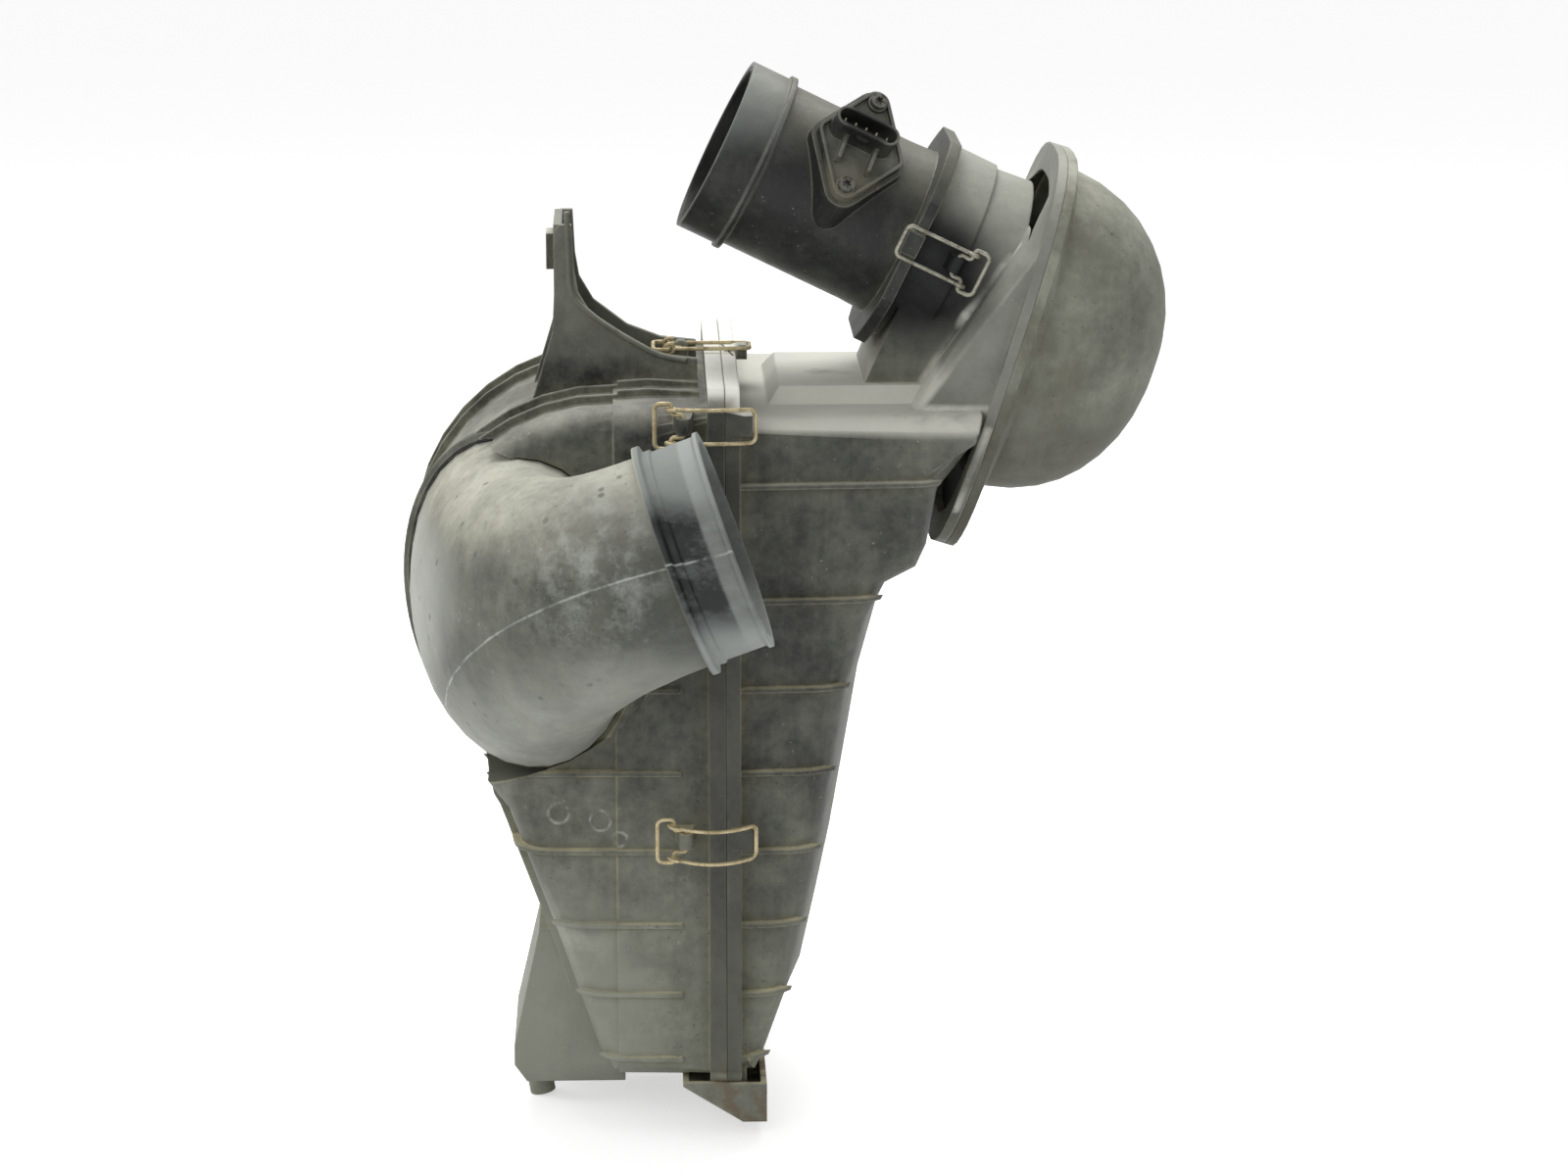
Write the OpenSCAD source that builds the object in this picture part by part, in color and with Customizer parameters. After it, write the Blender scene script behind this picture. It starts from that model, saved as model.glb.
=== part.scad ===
// Air filter housing of an engine: two half shells with the filter between
// them, an intake elbow on the near side, and a flow meter tube on the outlet.
// X runs across the joint from the dirty half to the clean half, Y from the
// near side to the far side, Z up. The origin is the fixing hole of the bracket.

/* [Joint between the halves] */
// Height of the joint flange
flange_h = 354; // [340:1:380]
// Width of the joint flange from near edge to far edge
flange_w = 210; // [204:1:230]
// Thickness of the flange on the dirty half
dirty_flange_t = 8.4; // [6:0.2:10]
// Thickness of the flange on the clean half
clean_flange_t = 7.2; // [5:0.2:9]
// Chamfer on the flange corners
flange_chamfer = 10; // [4:1:12]
// How far the flange stands out from the side walls
flange_lip = 12; // [10:0.5:16]

/* [Shells] */
// Wall thickness of the moulded shells
wall = 3; // [2.5:0.25:4]
// Rounding of the upright shell edges
edge_r = 13; // [8:1:18]
// Radius of the barrel on the dirty half
barrel_r = 98; // [90:1:102]
// Distance of the barrel axis from the joint
barrel_x = 57; // [50:1:60]
// Height of the barrel axis above the flange foot
barrel_z = 243; // [238:1:248]
// Height of the stiffening ribs
rib_h = 4; // [2:0.5:6]
// Thickness of the stiffening ribs
rib_t = 2.4; // [1.6:0.2:4]
// Distance between the two lowest level ribs
rib_pitch = 34; // [30:0.5:36]
// How much each distance grows over the one below it
rib_growth = 2.1; // [1.5:0.1:2.2]
// Height of the lowest level rib
rib_z = 12; // [8:1:20]
// Level ribs on the dirty half
dirty_rib_count = 6; // [3:1:6]
// Level ribs on the clean half below the deep box
clean_rib_count = 7; // [3:1:7]
// Width of the raised land beside the joint
land_w = 54; // [40:1:60]
// Height of the raised land
land_h = 1.8; // [1:0.2:3]
// Narrowing of the side walls for each 100 mm away from the joint
wall_draft = 0.04; // [0.02:0.005:0.05]
// Bulge of the dirty half's end wall
dirty_crown = 7; // [2:1:10]
// Bulge of the clean half's end wall
clean_crown = 13; // [5:1:18]

/* [Deep box of the clean half] */
// Reach of the deep box at its foot
box_foot_x = 98; // [92:1:102]
// Height where the deep box starts
box_z = 262; // [256:1:268]
// Height of the deep box's top
box_top_z = 337; // [332:1:342]
// Height of the raised pad on the top
pad_h = 8; // [4:1:12]

/* [Outlet dome] */
// Lean of the weld ring from upright, in degrees
ring_lean = 17.5; // [15:0.5:20]
// Length of the weld ring along its lean
ring_l = 206; // [200:1:212]
// Width of the weld ring from near to far
ring_w = 152; // [146:1:160]
// Thickness of each of the two weld flanges
ring_t = 4.9; // [4:0.1:6]
// Bulge of the dome from its weld face
dome_h = 73; // [60:1:90]

/* [Outlet duct] */
// Slope of the duct, in degrees
duct_slope = 26; // [22:0.5:30]
// Outer radius of the flow meter tube
tube_r = 43; // [41:0.5:45]
// Length of the flow meter tube from mouth to joint
tube_l = 108; // [96:1:120]
// Wall of the flow meter tube
tube_wall = 2.6; // [2:0.2:3.4]
// Outer radius of the tube mouth, where the hose goes
mouth_r = 44.8; // [44:0.1:46]
// Length of the mouth from its end to the stop bead
mouth_l = 20.7; // [15:0.1:26]
// Height of the stop bead
bead_h = 2.6; // [1.5:0.1:4]
// Half width of the joint flange of the tube
tube_flange_r = 54.5; // [53.5:0.5:60]
// Thickness of the tube's joint flange
tube_flange_t = 6; // [4:0.5:8]
// Outer radius of the neck that the tube plugs onto
neck_r = 51; // [49:0.5:52]
// Length of the straight collar of the neck
neck_l = 23; // [18:1:32]

/* [Flow sensor] */
// Angle of the sensor round the tube from the near side, in degrees
sensor_turn = 40; // [20:1:50]
// Distance of the sensor from the tube's joint
sensor_s = 47; // [36:1:60]
// Distance between the two sensor screws
screw_gap = 52; // [48:0.5:56]
// Diameter of the sensor's probe
probe_d = 22; // [18:0.5:24]
// Reach of the probe into the tube
probe_l = 40; // [25:1:50]
// Shank diameter of the sensor screws
screw_d = 4; // [3:0.1:4.4]
// Head diameter of the sensor screws
screw_head_d = 8; // [7:0.1:9]

/* [Intake elbow] */
// Radius of the port that takes the elbow
port_r = 82; // [78:0.5:82]
// Rim width round the port
port_rim = 3.4; // [2.5:0.1:4]
// Running gap filled by the seal
elbow_seal_t = 1.4; // [1:0.1:2]
// Outer radius of the spigot
spigot_r = 52; // [48:0.5:52.5]
// Length of the spigot past its bead
spigot_l = 30.6; // [26:0.1:36]
// Slope of the spigot, in degrees
spigot_slope = 20; // [16:0.5:22]
// Distance of the spigot axis from the middle of the housing
spigot_y = 164; // [162:1:170]

/* [Bracket] */
// Distance of the bracket face from the joint
bracket_x = 83; // [78:1:86]
// Height of the fixing hole above the flange foot
bracket_z = 406; // [395:1:410]
// Distance of the fixing hole from the middle of the housing
bracket_y = 5; // [0:1:10]
// Diameter of the fixing hole
bracket_hole_d = 9; // [6:0.5:12]
// Distance between the two webs of the bracket
bracket_w = 50; // [46:1:56]

/* [Clips] */
// Wire radius of the levers
lever_wire_r = 1.1; // [0.9:0.05:1.2]
// Wire radius of the bails
bail_wire_r = 1; // [0.8:0.05:1.1]
// Length of a lever from its pivot to its tip
lever_l = 14; // [12:0.5:18]
// Distance from the lever's pivot to the bail's pivot
toggle_e = 6; // [5.5:0.1:7]
// Distance from the joint face to the pivots of the housing clips
clip_back = 20; // [18:0.5:24]
// Distance from the joint face to the pivots of the duct clips
duct_clip_back = 19; // [17:0.5:25]
// Running gap of the clip wires
wire_gap = 0.25; // [0.2:0.05:0.3]

/* [Filter] */
// Thickness of the filter's rubber frame
seal_t = 5; // [4:0.5:6]
// Width of the rubber frame
seal_w = 11; // [8:0.5:14]
// Depth of the pleats
pleat_d = 36; // [20:1:40]
// Distance between the pleats
pleat_pitch = 6.2; // [5:0.1:9]
// Thickness of the filter paper
paper_t = 0.9; // [0.6:0.1:1.4]

/* [Hidden] */
$fn = 48;

// Gap between faces that meet
face_gap = 0.15;
// Size of the blocks that cut, past the whole part
reach = 900;
// Place and width of the bands that hold the level ribs, from the wall outwards
band_mid = 18;
band_w = 50;
wall_y = flange_w / 2 - flange_lip;
barrel_top = barrel_z + barrel_r;

// Foot of the walls, left to right across both halves
foot_x = 55;
hook_x = 20;
hook_z = 21;

plastic = [0.24, 0.26, 0.25];
dark_plastic = [0.16, 0.17, 0.17];
dusty_plastic = [0.36, 0.38, 0.36];
brass_wire = [0.66, 0.56, 0.34];
dull_wire = [0.5, 0.48, 0.4];

function middle(ring) = let (n = len(ring)) [for (c = [0:2]) [for (p = ring) p[c]] * [for (p = ring) 1] / n];

// Skin over rings of points that all have the same number of points. The ends
// are flat, or fans about their middles.
module skin(rings, fan = false) {
    n = len(rings[0]);
    m = len(rings);
    e = m * n;
    polyhedron(
        points = concat([for (ring = rings) each ring], fan ? [middle(rings[0]), middle(rings[m - 1])] : []),
        faces = concat(
            [for (j = [0:m - 2], i = [0:n - 1]) let (k = (i + 1) % n, a = j * n, b = a + n)
                each [[a + i, b + i, b + k], [a + i, b + k, a + k]]],
            fan ? [for (i = [0:n - 1]) let (k = (i + 1) % n)
                each [[i, k, e], [e - n + k, e - n + i, e + 1]]]
                : [[for (i = [0:n - 1]) i], [for (i = [n - 1:-1:0]) e - n + i]]));
}

// Points of an outline moved outwards by a distance, seen with X right and Z up
function grown(p, d) = let (n = len(p)) [for (i = [0:n - 1])
    let (a = p[(i + n - 1) % n], b = p[(i + 1) % n], t = (b - a) / norm(b - a))
    p[i] + d * [t[1], -t[0]]];

function rib_level(i) = rib_z + i * rib_pitch + rib_growth * i * (i - 1) / 2;

function smooth(t) = let (c = min(1, max(0, t))) c * c * (3 - 2 * c);

// Stations from far to near, each with its distance and its inset for a rounded edge
function stations(half, r, steps = 4) = concat(
    [for (k = [0:steps]) let (a = 90 * k / steps) [half - r * (1 - cos(a)), r * (1 - sin(a))]],
    [for (y = [0.5, 0, -0.5]) [y * (half - r), 0]],
    [for (k = [steps:-1:0]) let (a = 90 * k / steps) [-half + r * (1 - cos(a)), r * (1 - sin(a))]]);

// A moulded body: an outline seen from the near side, drafted and crowned from near to far,
// on one side of the joint
module body_form(outline, half, r, side, crown, crown_top) {
    skin([for (s = stations(half, r)) let (p = grown(outline, -s[1]))
        [for (q = p) let (bulge = crown * (1 - pow(s[0] / half, 2)) * smooth((crown_top - q[1]) / 30))
            [q[0] + side * bulge * smooth((side * q[0] - 8) / 20),
                s[0] * (1 - side * wall_draft * q[0] / 100), q[1]]]]);
}

// Outline of the dirty half: lid, barrel, throat and taper
function dirty_outline() = concat(
    [[14, barrel_top + 2], [-barrel_x + 20, barrel_top + 1]],
    [for (a = [88:10:218]) [-barrel_x + barrel_r * cos(a), barrel_z + barrel_r * sin(a)]],
    [[-117, 152], [-106, 139], [-100, 124], [-84, 80], [-62, 14], [-foot_x, 2], [14, 2]]);

// Outline of the clean half: taper, step and deep box
function clean_outline() = [[-14, 2], [14, 2], [18, 14], [28, 47], [36, 84], [43, 118], [50, 159],
    [57, 201], [67, 236], [78, box_z - 9], [box_foot_x - 4, box_z - 1], [box_foot_x + 1, box_z + 10],
    [box_foot_x + 7, box_z + 43], [126, box_top_z], [-14, box_top_z]];

module dirty_form(grow) {
    body_form(grown(dirty_outline(), grow), wall_y + grow, edge_r + grow, -1, dirty_crown, 160);
}
module clean_form(grow) {
    body_form(grown(clean_outline(), grow), wall_y + grow, edge_r + grow, 1, clean_crown, box_z);
}

// Everything on one side of the joint plane
module between(x0, x1) { translate([x0, -reach, -reach]) cube([x1 - x0, 2 * reach, 2 * reach]); }
module left_of(x) { between(x - reach, x); }
// Bands where the level ribs run, along the near and far walls
module side_bands() {
    for (s = [-1, 1]) translate([-reach, s * (wall_y + band_mid) - band_w / 2, -reach])
        cube([2 * reach, band_w, 2 * reach]);
}
module level_slab(z) { translate([-reach, -reach, z - rib_t / 2]) cube([2 * reach, 2 * reach, rib_t]); }
module upright_slab(y) { translate([-reach, y - rib_t / 2, -reach]) cube([2 * reach, rib_t, 2 * reach]); }

// Flange plate with chamfered corners, lying across X
module flange_plate(x0, x1, trim = 0) {
    w = flange_w / 2 - trim;
    c = flange_chamfer - trim * 0.4;
    translate([x0, 0, 0]) rotate([90, 0, 90]) linear_extrude(x1 - x0)
        polygon([[-w, trim + c], [-w + c, trim], [w - c, trim], [w, trim + c],
            [w, flange_h - trim - c], [w - c, flange_h - trim],
            [-w + c, flange_h - trim], [-w, flange_h - trim - c]]);
}

// Clips: where each stands on the joint and which way it faces
pivot_o = 2;
edge_y = flange_w / 2;
near_low_z = 130;
near_high_z = 338;
far_low_z = 90;
far_high_z = 270;
duct_clip_z = 4;
module near_low() { translate([0, -edge_y, near_low_z]) rotate([180, 0, 0]) children(); }
module near_high() { translate([0, -edge_y, near_high_z]) rotate([180, 0, 0]) children(); }
module far_low() { translate([0, edge_y, far_low_z]) children(); }
module far_high() { translate([0, edge_y, far_high_z]) children(); }
module top_place() { translate([0, bracket_y, flange_h]) rotate([90, 0, 0]) children(); }
module duct_near() { duct() translate([0, -tube_flange_r, duct_clip_z]) rotate([0, 0, 180]) children(); }
module duct_far() { duct() translate([0, tube_flange_r, duct_clip_z]) rotate([0, 180, 0]) children(); }
module duct_clips() { duct_near() children(); duct_far() children(); }
module housing_clips() { near_low() children(); near_high() children(); far_low() children();
    far_high() children(); top_place() children(); }

// Clip parts lie with X towards the catch, Y outwards and Z along the pivot
lug_half = 4;
lug_r = 3.4;
inner_leg_z = lug_half + 0.4 + lever_wire_r;
bail_leg_z = inner_leg_z + lever_wire_r + bail_wire_r + 0.65;
outer_leg_z = bail_leg_z + lever_wire_r + bail_wire_r + 0.65;
catch_l = 6;
bail_bend = 3;
lever_bend = 1.6;

// Ear that carries a lever, down to the wall below it
module lug_solid(back, down) {
    hull() {
        translate([-back, pivot_o, -lug_half]) cylinder(r = lug_r, h = 2 * lug_half, $fn = 20);
        translate([-back - 5, -down, -lug_half]) cube([10, 1, 2 * lug_half]);
    }
}
module lug_bore(back) {
    translate([-back, pivot_o, -lug_half - 1])
        cylinder(r = lever_wire_r + 0.2, h = 2 * lug_half + 2, $fn = 16);
}
// Nose that the bail pulls on
module catch_nose(x0, x1) {
    hull() {
        translate([x0, -4, -6]) cube([x1 - x0, 4, 12]);
        translate([x1 - 4, -4, -5]) cube([4, pivot_o + 5, 10]);
    }
}

// Quarter bend of wire, from the X direction to the Z direction
module wire_bend(x, z, turn, bend, r) {
    translate([x, 0, z]) rotate([90, turn, 0])
        rotate_extrude(angle = 90, $fn = 32) translate([bend, 0]) circle(r = r, $fn = 16);
}
module wire_x(x0, x1, z, r) {
    translate([x0, 0, z]) rotate([0, 90, 0]) cylinder(r = r, h = x1 - x0, $fn = 16);
}
module wire_z(z0, z1, x, r) { translate([x, 0, z0]) cylinder(r = r, h = z1 - z0, $fn = 16); }

module lever_half() {
    b = lever_bend;
    r = lever_wire_r;
    wire_z(0.5, inner_leg_z - b, 0, r);
    wire_bend(-b, inner_leg_z - b, 0, b, r);
    wire_x(-toggle_e + b, -b, inner_leg_z, r);
    wire_bend(-toggle_e + b, inner_leg_z + b, 180, b, r);
    wire_z(inner_leg_z + b, outer_leg_z - b, -toggle_e, r);
    wire_bend(-toggle_e - b, outer_leg_z - b, 0, b, r);
    wire_x(-lever_l + bail_bend, -toggle_e - b, outer_leg_z, r);
    wire_bend(-lever_l + bail_bend, outer_leg_z - bail_bend, -90, bail_bend, r);
    wire_z(0, outer_leg_z - bail_bend, -lever_l, r);
}
module lever(back) {
    translate([-back, pivot_o, 0]) {
        lever_half();
        mirror([0, 0, 1]) lever_half();
    }
}
module bail_half(front) {
    r = bail_wire_r;
    eye = lever_wire_r + wire_gap + r;
    wire_x(-toggle_e + eye, front - bail_bend, bail_leg_z, r);
    translate([-toggle_e, 0, bail_leg_z])
        rotate_extrude($fn = 32) translate([eye, 0]) circle(r = r, $fn = 16);
    wire_bend(front - bail_bend, bail_leg_z - bail_bend, 0, bail_bend, r);
    wire_z(0, bail_leg_z - bail_bend, front, r);
}
module bail(back, catch_x) {
    front = back + catch_x + 0.3 + bail_wire_r;
    translate([-back, pivot_o, 0]) {
        bail_half(front);
        mirror([0, 0, 1]) bail_half(front);
    }
}
housing_catch = clean_flange_t + catch_l;
duct_catch = tube_flange_t + 3;
module brass_lever() { color(brass_wire) lever(clip_back); }
module brass_bail() { color(brass_wire) bail(clip_back, housing_catch); }
module dull_lever() { color(dull_wire) lever(duct_clip_back); }
module dull_bail() { color(dull_wire) bail(duct_clip_back, duct_catch); }

// Duct frame: X along the duct away from the mouth, from the joint of the tube
duct_x = 94.9;
duct_z = box_top_z + 74.7;
neck_bore_r = neck_r - 4;
tube_seal_gap = 2.4;
tail_r = neck_bore_r - tube_seal_gap;
tail_l = 10;
neck_cone_l = 40;
module duct() { translate([duct_x, 0, duct_z]) rotate([0, duct_slope, 0]) children(); }

// Ring frame: X out of the dome's weld face, Z along the ring's length
ring_x = 136;
ring_z = box_top_z + 21.6;
module ring_place() { translate([ring_x, 0, ring_z]) rotate([0, ring_lean, 0]) children(); }

// Rounded oval seen along X, as points
function oval(x, half_y, half_z, mid_z, n = 40, q = 3) = [for (i = [0:n - 1]) let (a = 360 * i / n,
    c = cos(a), s = sin(a))
    [x, half_y * sign(c) * pow(abs(c), 2 / q), mid_z + half_z * sign(s) * pow(abs(s), 2 / q)]];

// Port of the elbow: a round opening turned towards the near corner
port = [-99, -45, 238];
module port_place() { translate(port) rotate([0, 0, -135]) rotate([0, 90, 0]) children(); }

// Sump under the left wall, with the drain
sump_y = -30;
sump_w = 76;
drain_r = 6.5;
module sump(inset) {
    i = inset;
    hull() {
        translate([-94 + i, sump_y - sump_w / 2 + 10 + i, 60]) cube([28, sump_w - 20 - 2 * i, 8 - i]);
        translate([-107 + i, sump_y - sump_w / 2 + i, 0]) cube([54 - i, sump_w - 2 * i, 10]);
        translate([-101 + i, sump_y - sump_w / 2 + 6 + i, -11 + i]) cube([50 - i, sump_w - 12 - 2 * i, 8]);
    }
}
module drain(r, h) {
    translate([-97, sump_y, -9]) rotate([0, -10, 0]) translate([0, 0, -h])
        cylinder(r = r, h = h + 4, $fn = 24);
}

// Hook trough that takes the foot of the clean half
module trough(y0, y1, inset) {
    i = inset;
    hull() {
        translate([-22 + i, y0, -2]) cube([12, y1 - y0, 2 + i]);
        translate([8 + i / 2, y0, -hook_z + i]) cube([hook_x - 8 - i * 1.5, y1 - y0, 3]);
        translate([hook_x - 3 - i, y0, -6]) cube([3, y1 - y0, 5 + i]);
    }
}

// The rib that runs all round, at the waist
waist_rib = 3;
// Ribs that run over the barrel, on both sides of the bracket
top_rib_y = [-62, -38, 50, 74];

// Web of the bracket, standing on the barrel
web_t = 4;
bracket_top = bracket_z + 16;
web_outline = [[-bracket_x, bracket_top - 4], [-bracket_x + 3, bracket_top], [-74, bracket_top], [-73, 400],
    [-71, 388], [-64, 376], [-47, 363], [-30, 356.5], [-12, 354.5], [-12, 340], [-70, 330], [-97, 325],
    [-91, 345], [-bracket_x - 1, 368], [-bracket_x, 388]];
module bracket_web(y) {
    translate([0, y + web_t / 2, 0]) rotate([90, 0, 0]) linear_extrude(web_t) polygon(web_outline);
}

module dirty_housing() {
    color(plastic) difference() {
        union() {
            intersection() {
                union() {
                    dirty_form(0);
                    intersection() { dirty_form(land_h); between(-land_w, 0); }
                    intersection() { dirty_form(rib_h); union() {
                        intersection() {
                            for (i = [0:dirty_rib_count - 1]) level_slab(rib_level(i));
                            side_bands();
                        }
                        level_slab(rib_level(waist_rib));
                        for (y = top_rib_y) upright_slab(y);
                    } left_of(-clip_back - 2); }
                    intersection() { dirty_form(rib_h + land_h); for (y = top_rib_y) upright_slab(y);
                        between(-land_w + 2, -12); }
                }
                left_of(-face_gap);
            }
            flange_plate(-dirty_flange_t, -face_gap);
            bracket_web(bracket_y - bracket_w / 2);
            bracket_web(bracket_y + bracket_w / 2);
            translate([-bracket_x, bracket_y - bracket_w / 2, 340]) cube([4, bracket_w, bracket_top - 340]);
            port_place() translate([0, 0, -30]) cylinder(r = port_r + port_rim, h = 34, $fn = 72);
            sump(0);
            drain(drain_r, 19);
            trough(-edge_y + 8, edge_y - 8, 0);
            intersection() {
                housing_clips() lug_solid(clip_back, flange_lip + 5);
                left_of(-dirty_flange_t + 2);
            }
        }
        // Cavity, held back behind the port and the flange
        difference() {
            dirty_form(-wall);
            port_place() translate([0, 0, -wall - 1]) cylinder(r = port_r + port_rim + 9, h = 150, $fn = 72);
        }
        // Room in front of the port for the elbow
        port_place() translate([0, 0, 4]) cylinder(r = port_r + port_rim, h = 120, $fn = 72);
        elbow_form(-1, elbow_lead, elbow_tail);
        port_place() translate([0, 0, -9]) cylinder(r = port_r, h = 20, $fn = 72);
        port_place() translate([0, 0, -60]) cylinder(r = port_r - 6, h = 60, $fn = 72);
        sump(wall);
        translate([-80, sump_y - 20, 10]) cube([26, 40, 40]);
        drain(drain_r - 2.2, 30);
        trough(-edge_y + 8 + wall, edge_y - 8 - wall, wall);
        // Recess for the filter's rubber frame
        flange_plate(-seal_t - face_gap, 5, frame_trim - 0.3);
        // Fixing hole and clip bores
        translate([-bracket_x - 5, bracket_y, bracket_z]) rotate([0, 90, 0])
            cylinder(d = bracket_hole_d, h = 12, $fn = 32);
        housing_clips() lug_bore(clip_back);
    }
}

// Rib round the deep box
top_band_z = box_top_z - 32;

// Wedge that carries the weld ring above the box, narrower towards its top
wedge_r = 6;
wedge_y = ring_w / 2 - 6 - wedge_r;
wedge_x = 99;
wedge_foot = 40;
weld_w = 14;
wedge_ends = [[-25, wedge_y], [ring_l / 2 - 43, wedge_y - 2], [ring_l / 2 - 19, wedge_y - 20]];
module wedge(inset) {
    hull() for (s = [-1, 1]) {
        translate([wedge_x, s * wedge_y, box_top_z - wedge_foot])
            cylinder(r = wedge_r - inset, h = wedge_foot, $fn = 16);
        for (e = wedge_ends) ring_place() translate([2, s * e[1], e[0]]) rotate([0, 90, 0])
            cylinder(r = wedge_r - inset, h = 0.5 + inset, $fn = 16);
    }
}

// Everything beyond the weld face, down to the ring's lower end
module beyond_ring() {
    ring_place() translate([0, -reach, -ring_l / 2 - 9]) cube([reach, 2 * reach, 2 * reach]);
}
// Plate of the weld, between two depths and smaller by a distance all round
module weld_plate(x0, x1, trim = 0) {
    skin([for (x = [x0, x1]) oval(x, ring_w / 2 - trim, ring_l / 2 - trim, 0)]);
}

module clean_housing() {
    color(plastic) difference() {
        union() {
            difference() {
                union() {
                    clean_form(0);
                    intersection() { clean_form(rib_h); union() {
                        for (i = [0:clean_rib_count - 1]) level_slab(rib_level(i));
                        level_slab(top_band_z);
                    } side_bands(); between(clean_flange_t - 1, 200); }
                }
                left_of(face_gap);
                beyond_ring();
            }
            flange_plate(face_gap, clean_flange_t);
            // Foot that drops into the trough
            translate([4, -edge_y + 14, -14]) cube([6, flange_w - 28, 20]);
            housing_clips() catch_nose(face_gap + 1, housing_catch);
            // Raised pad on the lid
            hull() {
                translate([22, -52, box_top_z - 4]) cube([90, 104, 4]);
                translate([28, -44, box_top_z + pad_h - 1]) cube([84, 88, 1]);
            }
            wedge(0);
            ring_place() weld_plate(-0.2, ring_t - face_gap);
            difference() {
                duct() rotate([0, 90, 0]) union() {
                    translate([0, 0, face_gap]) cylinder(r = neck_r, h = neck_l, $fn = 64);
                    translate([0, 0, neck_l - 1])
                        cylinder(r1 = neck_r - 2, r2 = neck_r + 2, h = neck_cone_l, $fn = 64);
                }
                beyond_ring();
            }
            // Pedestal under the neck
            hull() {
                duct() translate([4, 0, 0]) rotate([0, 90, 0]) cylinder(r = neck_r - 6, h = 34, $fn = 48);
                translate([68, -38, box_top_z]) cube([50, 76, 2]);
            }
            duct_clips() lug_solid(duct_clip_back, 7);
        }
        difference() {
            clean_form(-wall);
            beyond_ring();
        }
        wedge(wall);
        ring_place() weld_plate(-5, 12, weld_w);
        duct() translate([-2, 0, 0]) rotate([0, 90, 0]) cylinder(r = neck_bore_r, h = 72, $fn = 64);
        duct_clips() lug_bore(duct_clip_back);
    }
}

// Welded cap over the outlet
dome_q = 2.1;
dome_mid = 12;
function dome_ring(t, grow) = let (k = pow(1 - pow(t, dome_q), 1 / dome_q), h = ring_w / 2 - 12)
    oval(2 * ring_t + (dome_h + grow) * t, (h + grow) * k, (h + 18 + grow) * k, dome_mid, 36, 2.7);
module dome_form(grow) {
    skin([for (t = [0, 0.12, 0.28, 0.44, 0.58, 0.7, 0.8, 0.88, 0.94, 0.98, 0.995]) dome_ring(t, grow)]);
}
module outlet_dome() {
    color(plastic) difference() {
        ring_place() union() {
            dome_form(0);
            weld_plate(ring_t, 2 * ring_t);
            skin([oval(2 * ring_t - 0.1, ring_w / 2 - 3, ring_l / 2 - 3, 0),
                oval(2 * ring_t + 5, ring_w / 2 - 13, ring_l / 2 - 24, 11, 40, 2.7)]);
        }
        ring_place() dome_form(-wall);
        ring_place() skin([for (x = [-5, 2 * ring_t + 1]) oval(x, ring_w / 2 - 16, ring_l / 2 - 26, 12)]);
    }
}

// Elbow: sections swept from the port to the spigot
spigot_x = -25.5;
spigot_z = 285.3;
elbow_root_r = port_r - elbow_seal_t;
elbow_root_l = 3;
elbow_lead = 9;
elbow_tail = 2;
function bezier(p0, p1, p2, p3, t) = let (u = 1 - t)
    u * u * u * p0 + 3 * u * u * t * p1 + 3 * u * t * t * p2 + t * t * t * p3;
function root_point(a, r) = port + elbow_root_l * [-0.7071, -0.7071, 0]
    + r * (cos(a) * [0.7071, -0.7071, 0] + sin(a) * [0, 0, 1]);
function end_point(a, r) = [spigot_x, -spigot_y, spigot_z]
    + r * (cos(a) * [0, 1, 0] + sin(a) * [-sin(spigot_slope), 0, cos(spigot_slope)]);
function elbow_section(t, w, n = 32) = [for (i = [0:n - 1]) let (a = 360 * i / n, out = (1 - cos(a)) / 2)
    let (p0 = root_point(a, elbow_root_r - w), p3 = end_point(a, spigot_r - w),
        p1 = p0 + (14 + 136 * out) * [0, -1, 0],
        p2 = p3 - (16 + 78 * out) * [cos(spigot_slope), 0, sin(spigot_slope)])
    bezier(p0, p1, p2, p3, t)];
// The sweep with a straight length before its root and after its end
module elbow_form(w, lead, tail) {
    skin(concat(
        [[for (p = elbow_section(0, w)) p + lead * [0.7071, 0.7071, 0]]],
        [for (j = [0:12]) elbow_section(j / 12, w)],
        [[for (p = elbow_section(1, w)) p + tail * [cos(spigot_slope), 0, sin(spigot_slope)]]]), true);
}
module spigot_place() {
    translate([spigot_x, -spigot_y, spigot_z]) rotate([0, 90 - spigot_slope, 0]) children();
}

module intake_elbow() {
    color(dusty_plastic) difference() {
        union() {
            elbow_form(0, elbow_lead, elbow_tail);
            spigot_place() rotate_extrude($fn = 72) polygon([[0, -0.5],
                [spigot_r + 4.7, -0.5], [spigot_r + 4.7, 2.5], [spigot_r + 1.2, 3.5],
                [spigot_r + 1.2, 7], [spigot_r, 7.5], [spigot_r, spigot_l - 3],
                [spigot_r + 1.6, spigot_l - 2], [spigot_r + 1.6, spigot_l], [0, spigot_l]]);
        }
        elbow_form(wall, elbow_lead + 2, spigot_l + 5);
    }
}

module elbow_seal() {
    color("black") port_place() translate([0, 0, -5]) difference() {
        cylinder(r = port_r - 0.1, h = 8);
        translate([0, 0, -1]) cylinder(r = elbow_root_r + 0.1, h = 10);
    }
}

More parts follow.
